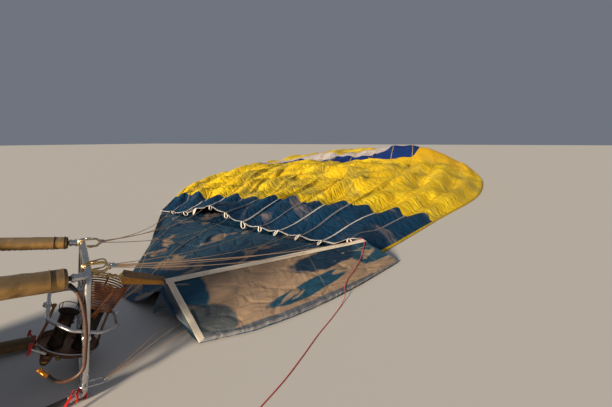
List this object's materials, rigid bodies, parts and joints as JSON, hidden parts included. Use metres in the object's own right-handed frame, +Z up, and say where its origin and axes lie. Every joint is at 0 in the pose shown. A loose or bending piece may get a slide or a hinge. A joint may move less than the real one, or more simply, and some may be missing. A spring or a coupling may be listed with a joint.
{
  "type": "hot air balloon",
  "caption": "Deflated hot air balloon lying on the ground: basket on its side, burner in a gimbal in its frame, flying wires, scoop and a striped envelope spread out.",
  "frame": {"origin": "middle of the bounding box, on the ground the balloon lies on", "axes": "+Y from the basket to the crown, +Z up, +X to the right seen from the basket"},
  "size_m": [12.4118, 28.273, 1.4589],
  "materials": {
    "yellow_cloth": "light coated ripstop cloth, satin, wrinkled",
    "navy_cloth": "heat-resistant cloth, matt, slate blue",
    "royal_cloth": "light coated ripstop cloth, satin",
    "white_cloth": "light coated ripstop cloth, satin",
    "scoop_cloth": "heat-resistant cloth, matt, dusty",
    "strap_webbing": "woven webbing",
    "polished_steel": "polished stainless steel",
    "wire_steel": "stranded stainless wire",
    "scorched_coil": "heat-coloured steel tube",
    "burner_metal": "sooty cast and pressed metal",
    "brass_fittings": "turned brass, dull",
    "red_plastic": "moulded plastic",
    "suede": "suede cover, brushed nap",
    "black_rod": "pultruded rod, satin",
    "wicker": "woven willow, varnished",
    "rawhide": "hide, stitched",
    "plywood": "sealed plywood and ash",
    "tank_jacket": "padded jacket, matt",
    "red_rope": "braided rope",
    "hose_rubber": "braid-covered rubber hose"
  },
  "bodies": {
    "root": {"load_frame": "polished_steel", "red_line_run": "red_rope", "scoop_chain": "polished_steel", "crown_panel": "yellow_cloth", "fuel_hose": "hose_rubber", "basket_rim": "rawhide", "basket_scuff_band": "rawhide", "mouth_band": "navy_cloth", "yellow_gores_left": "yellow_cloth", "yellow_gores_middle": "yellow_cloth", "yellow_gores_right": "yellow_cloth", "fuel_cylinder_1": "tank_jacket", "fuel_cylinder_2": "tank_jacket", "fuel_cylinder_3": "tank_jacket", "fuel_cylinder_4": "tank_jacket", "blue_stripe": "royal_cloth", "white_stripe": "white_cloth", "flying_wire_near_low": "wire_steel", "flying_wire_far_low": "wire_steel", "crown_ring": "polished_steel", "karabiner_near_high": "polished_steel", "karabiner_far_high": "polished_steel", "karabiner_near_low": "polished_steel", "karabiner_far_low": "polished_steel", "yellow_gores_ground_side": "yellow_cloth", "crown_ground_side": "yellow_cloth", "flying_wire_near_high_1": "wire_steel", "flying_wire_near_high_2": "wire_steel", "flying_wire_far_high_1": "wire_steel", "flying_wire_far_high_2": "wire_steel", "scoop_ground_panel": "scoop_cloth", "basket_weave": "wicker", "red_line_coil": "red_rope", "scoop_side_panel": "scoop_cloth", "upright_cover_near_high": "suede", "upright_cover_far_high": "suede", "upright_cover_near_low": "suede", "upright_cover_far_low": "suede", "red_line_knot": "red_rope", "basket_floor": "plywood", "mouth_band_ground_side": "navy_cloth", "scoop_strap": "strap_webbing", "hose_coupling": "brass_fittings", "upright_rod_near_high": "black_rod", "upright_rod_far_high": "black_rod", "upright_rod_near_low": "black_rod", "upright_rod_far_low": "black_rod", "floor_runner_1": "plywood", "floor_runner_2": "plywood"},
    "gimbal_ring": {"gimbal_ring": "polished_steel"},
    "burner": {"burner_pan": "burner_metal", "jet_can": "burner_metal", "burner_coil": "scorched_coil", "quiet_burner": "burner_metal", "valve_block": "brass_fittings", "blast_lever": "red_plastic"}
  },
  "joints": [
    {"name": "gimbal_ring_tilt", "type": "hinge", "parent": "root", "child": "gimbal_ring", "pos_m": [0.746, -12.21504, 0.44828], "axis": [0.8161, -0.5779, 0], "range_deg": [-127, 0]},
    {"name": "burner_tilt", "type": "hinge", "parent": "gimbal_ring", "child": "burner", "pos_m": [0.746, -12.21504, 0.44828], "axis": [-0.5203, -0.7348, 0.4352], "range_deg": [-20, 20]}
  ]
}
